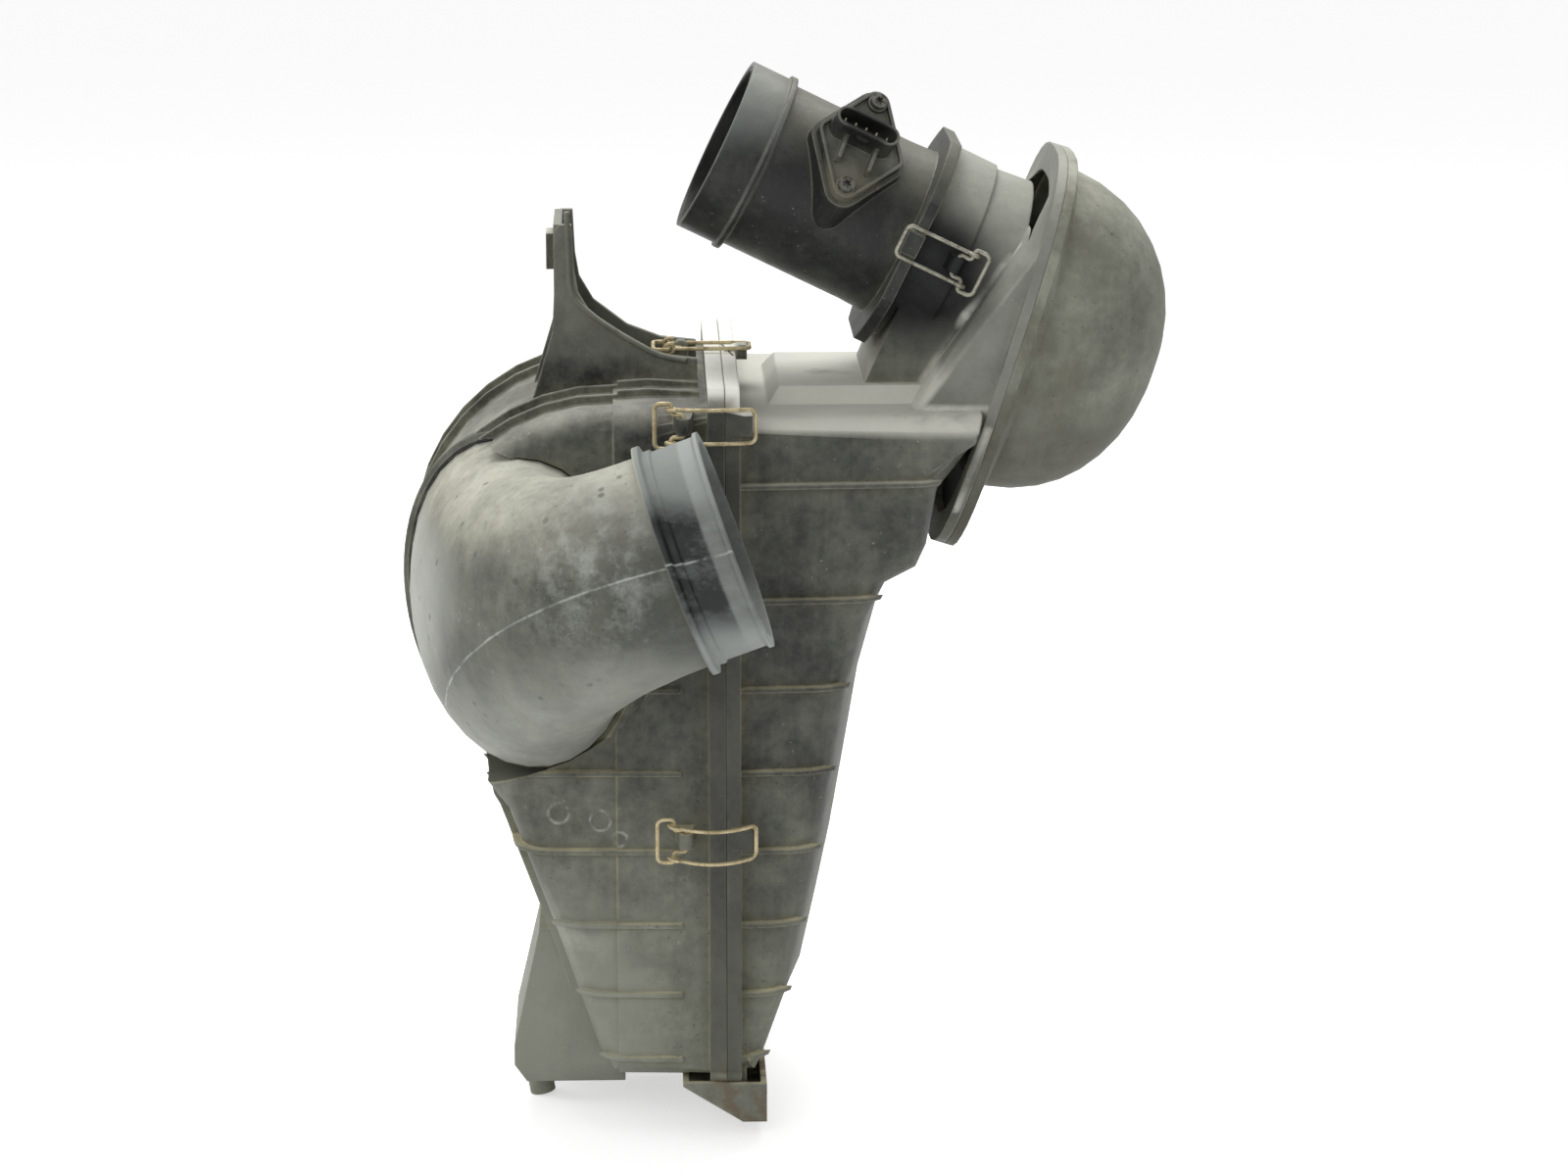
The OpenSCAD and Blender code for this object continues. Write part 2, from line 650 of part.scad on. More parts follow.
// Frame of the sensor: Z out of the tube, X along the duct
seat_r = tube_r + 7;
module sensor_place() {
    duct() translate([-sensor_s, 0, 0]) rotate([90 - sensor_turn, 0, 0])
        translate([0, 0, seat_r]) children();
}
o_ring_r = 1;
o_ring_mid = probe_d / 2 + 0.15 - o_ring_r;
base_half = probe_d / 2 + 12;
module sensor_diamond(h, grow = 0) {
    hull() for (s = [-1, 1]) {
        translate([0, s * screw_gap / 2, 0]) cylinder(r = 7 + grow, h = h, $fn = 24);
        translate([s * (base_half - 6), 0, 0]) cylinder(r = 6 + grow, h = h, $fn = 24);
    }
}

module flow_meter_tube() {
    r = tube_r;
    bead_z = tube_l - mouth_l;
    color(dark_plastic) difference() {
        union() {
            duct() rotate([0, -90, 0]) rotate_extrude($fn = 72) polygon([[0, face_gap],
                [r + 1, face_gap], [r, 20], [r, bead_z - 3], [r + bead_h + 1, bead_z - 2.4],
                [r + bead_h + 1, bead_z + 0.4], [mouth_r, bead_z + 0.8], [mouth_r, tube_l], [0, tube_l]]);
            // Joint flange with its four corners
            duct() intersection() {
                translate([-tube_flange_t - face_gap, -tube_flange_r, -tube_flange_r])
                    cube([tube_flange_t, 2 * tube_flange_r, 2 * tube_flange_r]);
                rotate([0, -90, 0]) cylinder(r = tube_flange_r + 6, h = 40, center = true, $fn = 72);
            }
            duct_clips() translate([face_gap, -5, -6]) cube([duct_catch - face_gap, 5 + pivot_o + 0.8, 12]);
            // Boss that the sensor sits on
            sensor_place() translate([0, 0, -27]) sensor_diamond(27, 1.8);
            // Spigot that plugs into the neck
            duct() translate([-1, 0, 0]) rotate([0, 90, 0]) cylinder(r = tail_r, h = tail_l + 1, $fn = 72);
        }
        duct() translate([-tube_l - 1, 0, 0]) rotate([0, 90, 0])
            cylinder(r = r - tube_wall, h = tube_l + 30, $fn = 72);
        sensor_place() translate([0, 0, -40]) cylinder(d = probe_d + 0.4, h = 50);
        sensor_place() for (s = [-1, 1]) translate([0, s * screw_gap / 2, -11])
            cylinder(d = screw_d - 0.6, h = 20, $fn = 24);
    }
}

module tube_seal() {
    color("black") duct() translate([5, 0, 0]) rotate([0, 90, 0]) rotate_extrude($fn = 64)
        translate([tail_r + tube_seal_gap / 2, 0]) circle(r = tube_seal_gap / 2 - 0.05, $fn = 20);
}

// Connector: a long socket with round ends, standing on the sensor's base
base_h = 5.6;
base_floor = 3;
socket_x = -1.5;
socket_y = 4;
socket_l = 33;
socket_r = 5.6;
socket_wall = 1.3;
socket_top = 17;
pin_count = 5;
pin_pitch = 5.6;
pin_t = 0.8;
module socket(r, z0, z1) {
    half = socket_l / 2 - socket_r;
    translate([socket_x, socket_y, z0]) {
        for (s = [-1, 1]) translate([s * half, 0, 0]) cylinder(r = r, h = z1 - z0, $fn = 24);
        translate([-half, -r, 0]) cube([2 * half, 2 * r, z1 - z0]);
    }
}
module flow_sensor() {
    color(dark_plastic) sensor_place() {
        difference() {
            union() {
                difference() {
                    translate([0, 0, 0.1]) sensor_diamond(base_h - 0.1, -0.6);
                    translate([0, 0, base_floor]) sensor_diamond(base_h, -2.2);
                }
                for (s = [-1, 1]) translate([0, s * screw_gap / 2, 0.1])
                    cylinder(r = screw_d / 2 + 2.8, h = base_h - 0.1, $fn = 24);
                translate([0, 0, -probe_l]) cylinder(d = probe_d - 4, h = probe_l + 2);
                translate([0, 0, -14]) cylinder(d = probe_d, h = 16);
                socket(socket_r, base_floor - 0.5, socket_top);
                // Latch nub and the two webs in front of the socket
                translate([socket_x - 3, socket_y - socket_r - 1.2, socket_top - 7]) cube([6, 2, 3]);
                for (x = [-9.5, 6.5]) translate([x, -15, base_floor - 0.5]) cube([1.8, 15, base_h + 2]);
            }
            socket(socket_r - socket_wall, base_h, socket_top + 1);
            translate([-7, -11, -probe_l + 4]) cube([14, 22, 12]);
            for (s = [-1, 1]) translate([0, s * screw_gap / 2, -1])
                cylinder(d = screw_d + 0.6, h = 10, $fn = 24);
            translate([0, 0, -8 - o_ring_r - 0.1]) difference() {
                cylinder(d = probe_d + 2, h = 2 * o_ring_r + 0.2);
                cylinder(r = o_ring_mid - o_ring_r - 0.05, h = 2 * o_ring_r + 0.2);
            }
        }
    }
}
module sensor_pins() {
    color("silver") sensor_place() for (i = [0:pin_count - 1])
        translate([socket_x + (i - (pin_count - 1) / 2) * pin_pitch - pin_t / 2, socket_y - 0.9, base_h])
            cube([pin_t, 1.8, socket_top - base_h - 4]);
}
module sensor_o_ring() {
    color("black") sensor_place() translate([0, 0, -8]) rotate_extrude($fn = 48)
        translate([o_ring_mid, 0]) circle(r = o_ring_r, $fn = 16);
}
module sensor_screws() {
    color("gray") sensor_place() for (s = [-1, 1]) translate([0, s * screw_gap / 2, 0]) difference() {
        union() {
            translate([0, 0, -9]) cylinder(d = screw_d - 0.7, h = base_h + 10, $fn = 24);
            translate([0, 0, base_h]) cylinder(d = screw_head_d, h = 2.8);
        }
        translate([0, 0, base_h + 1]) for (a = [0, 60, 120]) rotate(a)
            translate([-2, -0.5, 0]) cube([4, 1, 4]);
    }
}

// Rubber frame of the filter: how far it lies inside the flange's edge
frame_trim = 7.3;
frame_in_y = edge_y - frame_trim - seal_w;
frame_in_z0 = frame_trim + seal_w;
frame_in_z1 = flange_h - frame_trim - seal_w;
module filter_frame() {
    color("dimgray") difference() {
        flange_plate(-seal_t, 0, frame_trim);
        translate([-20, -frame_in_y, frame_in_z0]) cube([30, 2 * frame_in_y, frame_in_z1 - frame_in_z0]);
    }
}
module filter_media() {
    z0 = frame_in_z0 + 0.1;
    z1 = frame_in_z1 - 0.1;
    n = floor((z1 - z0) / pleat_pitch);
    p = (z1 - z0) / n;
    half = frame_in_y - 0.1;
    fold = [for (i = [0:2 * n]) [i % 2 == 0 ? -0.3 : -pleat_d, z0 + i * p / 2]];
    color("tan") translate([0, half, 0]) rotate([90, 0, 0]) linear_extrude(2 * half)
        polygon(concat([for (q = fold) [q[0] - paper_t, q[1]]], [for (i = [2 * n:-1:0]) fold[i]]));
}

nut_bore_d = 6;
module bracket_clip_nut() {
    color("black") difference() {
        union() {
            translate([-bracket_x - 4, bracket_y - 9, bracket_z - 9]) cube([3.9, 18, 18]);
            translate([-bracket_x - 1, bracket_y, bracket_z]) rotate([0, 90, 0])
                cylinder(d = bracket_hole_d - 0.4, h = 9, $fn = 32);
        }
        translate([-bracket_x - 9, bracket_y, bracket_z]) rotate([0, 90, 0])
            cylinder(d = nut_bore_d, h = 30, $fn = 32);
    }
}

// The origin is the outer end of the fixing hole
module set() { translate([bracket_x + 4, -bracket_y, -bracket_z]) children(); }

set() dirty_housing();
set() clean_housing();
set() outlet_dome();
set() intake_elbow();
set() elbow_seal();
set() flow_meter_tube();
set() tube_seal();
set() flow_sensor();
set() sensor_pins();
set() sensor_o_ring();
set() sensor_screws();
set() filter_media();
set() filter_frame();
set() bracket_clip_nut();
set() near_low() brass_lever();  // near_low_lever
set() near_low() brass_bail();  // near_low_bail
set() near_high() brass_lever();  // near_high_lever
set() near_high() brass_bail();  // near_high_bail
set() far_low() brass_lever();  // far_low_lever
set() far_low() brass_bail();  // far_low_bail
set() far_high() brass_lever();  // far_high_lever
set() far_high() brass_bail();  // far_high_bail
set() top_place() brass_lever();  // top_lever
set() top_place() brass_bail();  // top_bail
set() duct_near() dull_lever();  // duct_near_lever
set() duct_near() dull_bail();  // duct_near_bail
set() duct_far() dull_lever();  // duct_far_lever
set() duct_far() dull_bail();  // duct_far_bail
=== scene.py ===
import math
import bpy
import bmesh
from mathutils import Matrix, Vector


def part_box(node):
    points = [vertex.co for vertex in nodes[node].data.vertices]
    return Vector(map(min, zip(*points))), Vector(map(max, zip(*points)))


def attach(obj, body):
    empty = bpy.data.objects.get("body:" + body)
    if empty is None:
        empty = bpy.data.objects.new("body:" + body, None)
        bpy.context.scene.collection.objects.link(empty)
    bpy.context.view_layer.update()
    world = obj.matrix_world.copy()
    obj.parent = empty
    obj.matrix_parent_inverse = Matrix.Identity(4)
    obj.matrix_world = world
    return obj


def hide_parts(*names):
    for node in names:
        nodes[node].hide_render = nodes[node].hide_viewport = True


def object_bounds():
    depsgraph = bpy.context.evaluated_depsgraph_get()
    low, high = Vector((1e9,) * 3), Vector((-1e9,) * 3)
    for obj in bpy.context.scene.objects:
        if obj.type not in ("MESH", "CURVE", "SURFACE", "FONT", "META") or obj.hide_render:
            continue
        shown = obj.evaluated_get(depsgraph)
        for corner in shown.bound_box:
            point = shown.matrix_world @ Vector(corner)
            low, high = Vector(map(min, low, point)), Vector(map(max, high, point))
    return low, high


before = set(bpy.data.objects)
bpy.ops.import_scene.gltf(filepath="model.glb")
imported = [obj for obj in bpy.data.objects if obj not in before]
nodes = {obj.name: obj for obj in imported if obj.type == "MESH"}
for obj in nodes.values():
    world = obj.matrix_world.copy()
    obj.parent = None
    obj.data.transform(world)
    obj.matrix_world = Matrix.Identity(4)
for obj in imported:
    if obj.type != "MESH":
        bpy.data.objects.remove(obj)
cadBox = [list(corner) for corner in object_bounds()]
print("frame loaded:", len(nodes), "nodes")

# How round the edges look and how fine the shading of edges and hollows is sampled
surface = {"edgeRadius": 0.0014, "edgeSamples": 4, "hollowSamples": 4}


class Field:
    # a shader socket that can stand in sums
    def __init__(self, graph, socket):
        self.graph, self.socket = graph, socket

    def math(self, operation, a, b=0.0, clamp=False):
        return self.graph.node("ShaderNodeMath", {"operation": operation, "use_clamp": clamp}, {0: a, 1: b})

    def __add__(self, other): return self.math("ADD", self, other)
    def __radd__(self, other): return self.math("ADD", other, self)
    def __sub__(self, other): return self.math("SUBTRACT", self, other)
    def __rsub__(self, other): return self.math("SUBTRACT", other, self)
    def __mul__(self, other): return self.math("MULTIPLY", self, other)
    def __rmul__(self, other): return self.math("MULTIPLY", other, self)
    def __or__(self, other): return self.math("MAXIMUM", self, other)
    def __abs__(self): return self.math("ABSOLUTE", self)
    def clip(self): return self.math("ADD", self, 0.0, True)

    def rise(self, a, b):
        # 0 where the field is a, 1 where it is b, smooth between
        low, high, start, end = (a, b, 0.0, 1.0) if a < b else (b, a, 1.0, 0.0)
        return self.graph.node("ShaderNodeMapRange", {"interpolation_type": "SMOOTHSTEP"},
                               {0: self, 1: low, 2: high, 3: start, 4: end})


class Graph:
    # a node tree, and the one method that adds nodes to it
    def __init__(self, tree):
        self.tree = tree

    def node(self, kind, settings=None, values=None, out=0):
        n = self.tree.nodes.new(kind)
        for key, value in (settings or {}).items():
            setattr(n, key, value)
        for key, value in (values or {}).items():
            self.plug(n.inputs[key], value)
        return Field(self, n.outputs[out])

    def plug(self, socket, value):
        if isinstance(value, Field):
            self.tree.links.new(value.socket, socket)
        elif socket.type == "RGBA" and len(value) == 3:
            socket.default_value = (*value, 1.0)
        else:
            socket.default_value = value

    def parts(self, vector):
        n = self.tree.nodes.new("ShaderNodeSeparateXYZ")
        self.tree.links.new(vector.socket, n.inputs[0])
        return [Field(self, n.outputs[i]) for i in range(3)]


class Finish(Graph):
    # one material, with its fields of place and normal
    def __init__(self, name):
        self.material = bpy.data.materials.new(name)
        self.material.use_nodes = True
        super().__init__(self.material.node_tree)
        self.shader = self.tree.nodes["Principled BSDF"]
        self.soft = None
        self.place = self.node("ShaderNodeTexCoord", out="Object")
        self.x, self.y, self.z = self.parts(self.place)
        self.nx, self.ny, self.nz = self.parts(self.node("ShaderNodeTexCoord", out="Normal"))

    def noise(self, scale, detail=3.0, rough=0.55, stretch=None, seed=0.0):
        at = self.place
        if stretch:
            at = self.node("ShaderNodeVectorMath", {"operation": "MULTIPLY"}, {0: at, 1: stretch})
        return self.node("ShaderNodeTexNoise", {"noise_dimensions": "4D"},
                         {"Vector": at, "W": seed, "Scale": scale, "Detail": detail, "Roughness": rough})

    def mix(self, a, b, factor):
        return self.node("ShaderNodeMix", {"data_type": "RGBA"}, {0: factor, 6: a, 7: b}, 2)

    def near(self, point, radius, soft=0.5, stretch=(1, 1, 1)):
        # 1 within a radius of a point, 0 outside it, soft is the width of the fade
        return self.distance(point, stretch).rise(radius * (1 + soft), radius * (1 - soft))

    def distance(self, point, stretch=(1, 1, 1)):
        gap = self.node("ShaderNodeVectorMath", {"operation": "SUBTRACT"}, {0: self.place, 1: point})
        gap = self.node("ShaderNodeVectorMath", {"operation": "MULTIPLY"}, {0: gap, 1: stretch})
        return self.node("ShaderNodeVectorMath", {"operation": "LENGTH"}, {0: gap}, "Value")

    def track(self, start, end):
        # distance from the straight line between two points
        way = Vector(end) - Vector(start)
        gap = self.node("ShaderNodeVectorMath", {"operation": "SUBTRACT"}, {0: self.place, 1: start})
        along = self.node("ShaderNodeVectorMath", {"operation": "DOT_PRODUCT"},
                          {0: gap, 1: tuple(way / way.length_squared)}, "Value").clip()
        foot = self.node("ShaderNodeVectorMath", {"operation": "SCALE"}, {0: tuple(way), "Scale": along})
        return self.node("ShaderNodeVectorMath", {"operation": "DISTANCE"}, {0: gap, 1: foot}, "Value")

    def rounded(self):
        # the normal as if every edge were slightly round
        if not self.soft:
            self.soft = self.node("ShaderNodeBevel", {"samples": surface["edgeSamples"]},
                                  {"Radius": surface["edgeRadius"]})
        return self.soft

    def edges(self):
        # 1 along edges: where the rounded normal leaves the face's own
        flat = self.node("ShaderNodeNewGeometry", out="Normal")
        dot = self.node("ShaderNodeVectorMath", {"operation": "DOT_PRODUCT"},
                        {0: self.rounded(), 1: flat}, "Value")
        return (1 - dot).rise(0.02, 0.2)

    def hollows(self, distance):
        # 1 in corners and grooves
        return 1 - self.node("ShaderNodeAmbientOcclusion", {"samples": surface["hollowSamples"]},
                             {"Distance": distance}, "AO")

    def relief(self, height, strength, distance, roundEdges=False):
        values = {"Strength": strength, "Distance": distance, "Height": height}
        if roundEdges:
            values["Normal"] = self.rounded()
        self.plug(self.shader.inputs["Normal"], self.node("ShaderNodeBump", {}, values))

    def give(self, *targets):
        for target in targets:
            slots = target.data.materials
            slots.clear()
            slots.append(self.material)


# Moulded plastic: dark where it is clean, under a film of dust that lies thick on what faces up
plastic = {
    "clean": (0.016, 0.018, 0.017), "film": (0.30, 0.312, 0.25), "dust": (0.66, 0.65, 0.55),
    "sand": (0.74, 0.68, 0.46), "earth": (0.25, 0.235, 0.155),
    "roughness": 0.5, "specular": 0.32, "grain": 900.0, "bump": 0.25, "bumpDepth": 0.0006,
    "hollowReach": 0.012,
}


def plasticFinish(name, level, lowLevel=0.0, upDust=0.85, edgeDust=0.7, gather=1.0, blotchy=1.0,
                  seed=0.0, marks=None):
    # level is the share of the film, lowLevel what it gains towards the foot, upDust and edgeDust
    # what lies on faces that look up and on edges, gather what lies in the corners
    f = Finish(name)
    broad = f.noise(7.0, 4.0, 0.6, seed=seed).rise(0.32, 0.68)
    cloud = f.noise(30.0, 7.0, 0.68, seed=seed + 3)
    patches = cloud.rise(0.36, 0.66)
    fine = f.noise(170.0, 4.0, 0.65, seed=seed + 5).rise(0.3, 0.7)
    speck = f.noise(480.0, 2.0, 0.6, seed=seed + 7)
    run = f.noise(60.0, 4.0, 0.65, stretch=(1.0, 1.0, 0.1), seed=seed + 11).rise(0.35, 0.7)
    low = f.z.rise(-0.12, -0.40)
    film = level + low * lowLevel + ((broad - 0.5) * 0.16 + (patches - 0.5) * 0.2) * blotchy
    film = film + ((run - 0.5) * 0.1 + (fine - 0.5) * 0.11) * blotchy
    colour = f.mix(plastic["clean"], plastic["film"], film.clip())
    # dust gathers in the corners, paler and sandier towards the foot
    dust = f.mix(plastic["dust"], plastic["sand"], f.z.rise(-0.08, -0.2))
    up = f.nz.rise(0.15, 0.8)
    hollow = f.hollows(plastic["hollowReach"]).rise(0.12, 0.7) * (1 - up) * gather
    colour = f.mix(colour, plastic["earth"], (hollow * (0.25 + patches * 0.5 + fine * 0.2)).clip())
    ledge = f.z.rise(-0.09, -0.13)
    settled = (up * (0.5 + patches * 0.4 + fine * 0.15) * (upDust + ledge * (0.95 - upDust))).clip()
    colour = f.mix(colour, dust, settled)
    # pale worn edges
    edge = f.edges()
    colour = f.mix(colour, dust, (edge * (0.3 + patches * 0.5 + run * 0.4) * edgeDust).clip())
    # fine specks, pale and dark
    colour = f.mix(colour, plastic["dust"], speck.rise(0.69, 0.75) * 0.4)
    colour = f.mix(colour, plastic["clean"], speck.rise(0.35, 0.29) * 0.5)
    rough = plastic["roughness"] + settled * 0.35 + film * 0.25 + (fine - 0.5) * 0.1
    height = f.noise(plastic["grain"], 2.0, 0.6, seed=seed + 20) * 0.5 + cloud * 3.0 + fine * 0.4
    if marks:
        colour, rough, height = marks(f, colour, rough, height)
    f.plug(f.shader.inputs["Base Color"], colour)
    f.plug(f.shader.inputs["Roughness"], rough.clip())
    f.shader.inputs["Specular IOR Level"].default_value = plastic["specular"]
    f.relief(height, plastic["bump"], plastic["bumpDepth"], True)
    return f


# Marks on the elbow, of use and of painted rim light and shade, in metres in the part's frame: the seam
# lies where z = a + b x + c y, the spigot starts at its bead
elbow = {
    "seam": (-0.2538, 0.2429, -0.582), "seamHalf": 0.0006,
    "smudge": (0.024, -0.214, -0.112), "smudgeRadius": 0.034,
    "spigot": (0.0615, -0.169, -0.1207), "spigotAxis": (0.9397, 0.0, 0.3420), "lipFrom": 0.0195,
    "pale": (0.60, 0.62, 0.56), "bloom": (0.46, 0.49, 0.46), "drop": (0.07, 0.074, 0.066),
    "dropScale": 85.0, "band": (0.20, 0.225, 0.22), "greaseAndShade": (0.014, 0.016, 0.016),
}


def elbowMarks(f, colour, rough, height):
    # painted rim light: the left flank, where light grazes it, painted pale; a paler foot where it faces
    # down
    rimLitFlank = f.nx.rise(-0.86, -0.99)
    foot = f.nz.rise(-0.2, -0.8)
    blot = f.noise(34.0, 6.0, 0.68, seed=61.0)
    pale = (rimLitFlank * (0.3 + blot * 0.45) + foot * blot * 0.7).clip()
    colour = f.mix(colour, elbow["pale"], pale)
    # painted shade towards the bead, in the dark grease colour, and whitish smudges on the bend
    a, b, c = elbow["spigotAxis"]
    x, y, z = elbow["spigot"]
    along = (f.x - x) * a + (f.z - z) * c
    smear = f.noise(60.0, 6.0, 0.72, seed=62.0)
    shade = along.rise(-0.055, -0.006) * abs(f.z + 0.125).rise(0.06, 0.02) * (0.35 + smear * 0.75)
    colour = f.mix(colour, elbow["greaseAndShade"], (shade * 0.75).clip())
    cloudy = f.near(elbow["smudge"], elbow["smudgeRadius"], 0.9) * smear.rise(0.44, 0.7)
    colour = f.mix(colour, elbow["bloom"], cloudy * 0.6)
    # drops that have dried, dark and pale
    drop = f.node("ShaderNodeTexVoronoi", {"feature": "F1"},
                  {"Vector": f.place, "Scale": elbow["dropScale"]}, "Distance")
    few = f.noise(45.0, 1.0, 0.5, seed=63.0)
    colour = f.mix(colour, elbow["drop"], drop.rise(0.2, 0.08) * few.rise(0.48, 0.6) * 0.6)
    ring = abs(drop - 0.22).rise(0.09, 0.0) * few.rise(0.46, 0.32) * blot.rise(0.4, 0.6)
    colour = f.mix(colour, elbow["bloom"], ring * 0.35)
    # hose end: bluish above, greasy black in the middle, grey below, pale on its lip
    band = along.rise(-0.001, 0.001)
    colour = f.mix(colour, elbow["band"], (band * (0.6 + smear * 0.4)).clip())
    streak = f.noise(42.0, 6.0, 0.72, stretch=(1.0, 1.0, 1.6), seed=64.0).rise(0.28, 0.58)
    colour = f.mix(colour, elbow["bloom"], (band * f.z.rise(-0.138, -0.152) * (0.2 + smear * 0.5)).clip())
    dark = (band * abs(f.z + 0.112).rise(0.034, 0.018) * (0.4 + streak * 0.7)).clip()
    colour = f.mix(colour, elbow["greaseAndShade"], dark)
    lip = along.rise(elbow["lipFrom"], elbow["lipFrom"] + 0.002) * (0.3 + smear * 0.6)
    colour = f.mix(colour, elbow["bloom"], (lip * 0.6).clip())
    # mould seam
    p, q, r = elbow["seam"]
    off = abs(f.z - (f.x * q + f.y * r + p))
    seam = off.rise(elbow["seamHalf"] * 1.6, elbow["seamHalf"] * 0.4) * smear.rise(0.36, 0.6)
    colour = f.mix(colour, elbow["bloom"], seam * 0.8)
    return colour, rough - dark * 0.15, height + off.rise(0.0016, 0.0) * 1.5


# Dust on top of the joint flange, the same on both halves
flangeTop = {"low": -0.058, "high": -0.053, "dust": (0.92, 0.92, 0.84)}


def dustFlange(f, colour, blot, side):
    top = f.z.rise(flangeTop["low"], flangeTop["high"]) * side
    return f.mix(colour, flangeTop["dust"], (top * (0.66 + blot * 0.45)).clip())


# Marks on the dirty half: each place with the radius it reaches and its colour
dirtyHalf = {
    "stains": [(0.0043, -0.0949, -0.2664), (0.0246, -0.0957, -0.2704), (0.0342, -0.0978, -0.2795)],
    "stainRadius": 0.0058, "stainColour": (0.42, 0.43, 0.38),
    "smear": (0.0132, -0.0935, -0.3358), "smearRadius": 0.013, "smearColour": (0.42, 0.43, 0.37),
    "sump": (-0.002, -0.071, -0.372), "sumpRadius": 0.062, "sumpColour": (0.32, 0.33, 0.28),
    "trough": (0.101, -0.102, -0.413), "troughRadius": 0.022, "troughColour": (0.16, 0.11, 0.065),
    "ledge": (-0.024, -0.062, -0.252), "ledgeRadius": 0.030, "ledgeShadeColour": (0.115, 0.12, 0.10),
    "skirtColour": (0.035, 0.036, 0.032), "bracketColour": (0.22, 0.222, 0.18),
}


def dirtyMarks(f, colour, rough, height):
    # flange skirt darker than the walls, bracket and sump greyer and paler
    blot = f.noise(40.0, 5.0, 0.65, seed=12.0)
    fleck = f.noise(110.0, 5.0, 0.7, seed=13.0)
    skirt = f.y.rise(-0.105, -0.109) * f.x.rise(0.074, 0.078)
    colour = f.mix(colour, dirtyHalf["skirtColour"], skirt * 0.6)
    bracket = f.z.rise(-0.06, -0.045) * f.x.rise(0.074, 0.07)
    colour = f.mix(colour, dirtyHalf["bracketColour"], bracket * (0.15 + blot * 0.5))
    sump = f.near(dirtyHalf["sump"], dirtyHalf["sumpRadius"], 0.35, (1.2, 0.6, 1.0))
    colour = f.mix(colour, dirtyHalf["sumpColour"], sump * (0.4 + blot * 0.5))
    # rings left by dried drops
    for i, place in enumerate(dirtyHalf["stains"]):
        gap = f.distance(place) + (blot - 0.5) * 0.007
        wall = abs(gap - dirtyHalf["stainRadius"] * (1 - 0.15 * i)).rise(0.0012, 0.0002)
        colour = f.mix(colour, dirtyHalf["stainColour"], wall * fleck.rise(0.4, 0.62) * 0.7)
    smear = f.near(dirtyHalf["smear"], dirtyHalf["smearRadius"], 0.6) * blot.rise(0.35, 0.65)
    colour = f.mix(colour, dirtyHalf["smearColour"], smear * 0.6)
    # painted shade on the ledge under the port, where the elbow shades it, as dark as the wall
    shadedLedge = f.near(dirtyHalf["ledge"], dirtyHalf["ledgeRadius"], 0.3) * f.nz.rise(0.3, 0.7)
    colour = f.mix(colour, dirtyHalf["ledgeShadeColour"], shadedLedge * 0.92)
    # brown earth in the trough
    earth = f.near(dirtyHalf["trough"], dirtyHalf["troughRadius"], 0.4, (1.0, 0.1, 0.9))
    earth = earth * f.noise(120.0, 4.0, seed=14.0).rise(0.4, 0.6)
    colour = f.mix(colour, dirtyHalf["troughColour"], earth * 0.7)
    return dustFlange(f, colour, blot, f.x.rise(0.076, 0.079)), rough, height


# Marks on the clean half: creases and the crack run from point to point
cleanHalf = {
    "creases": [((0.186, -0.045, -0.060), (0.2065, -0.0522, -0.0259)),
                ((0.2065, -0.0522, -0.0259), (0.2326, -0.0545, 0.0091)),
                ((0.186, -0.0747, -0.0680), (0.2159, -0.0758, -0.0685)),
                ((0.2159, -0.0802, -0.0781), (0.2013, -0.069, -0.1199))],
    "creaseWidth": 0.0034, "creaseColour": (0.62, 0.62, 0.56),
    "shadedNeck": (0.185, -0.052, -0.005), "shadedNeckRadius": 0.034, "neckShadeColour": (0.006, 0.007, 0.007),
    "crack": ((0.0873, 0.0173, -0.052), (0.093, -0.017, -0.052)), "crackWidth": 0.0009,
    "crackColour": (0.04, 0.04, 0.035),
    "collarColour": (0.33, 0.34, 0.30), "skirtColour": (0.07, 0.072, 0.06),
    "lidHeight": -0.068, "lidColour": (0.66, 0.66, 0.59), "lidStain": (0.09, 0.09, 0.08),
}


